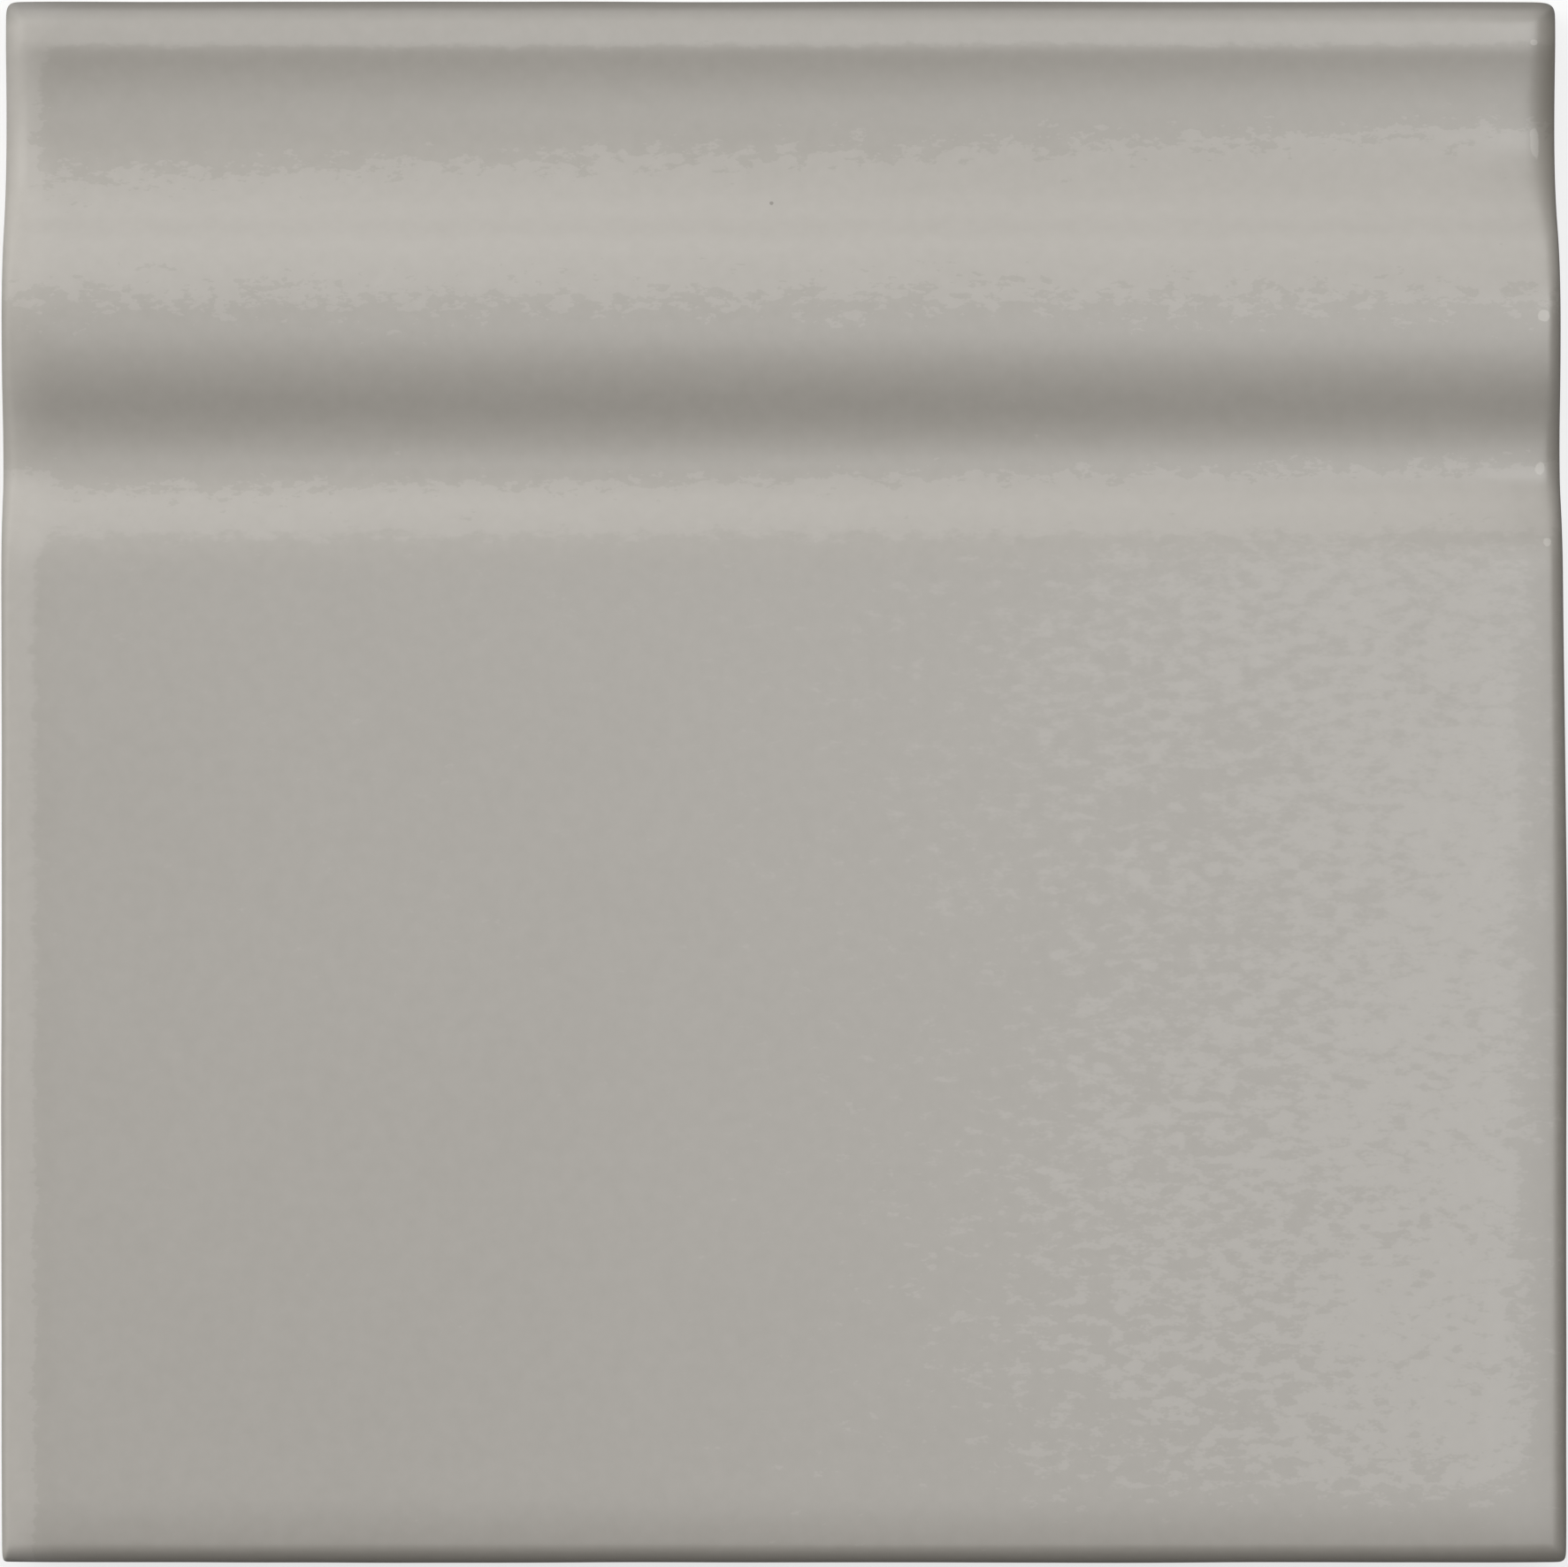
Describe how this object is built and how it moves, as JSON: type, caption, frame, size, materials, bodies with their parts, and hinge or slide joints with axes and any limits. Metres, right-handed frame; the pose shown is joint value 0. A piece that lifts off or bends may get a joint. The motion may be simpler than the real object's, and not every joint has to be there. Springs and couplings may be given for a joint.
{
  "type": "skirting tile",
  "caption": "Square glazed ceramic skirting tile with a bead, cove, roll and quirk moulded along its top edge, a flat field below them and a keyed back.",
  "frame": {"origin": "centre of the tile's back, in the plane it lies on", "axes": "+X along the wall, +Y up the wall to the moulded top edge, +Z out of the glazed face"},
  "size_m": [0.152, 0.152, 0.016],
  "materials": {
    "glazed_tile": "satin"
  },
  "bodies": {
    "root": {"skirting_tile": "glazed_tile"}
  },
  "joints": []
}
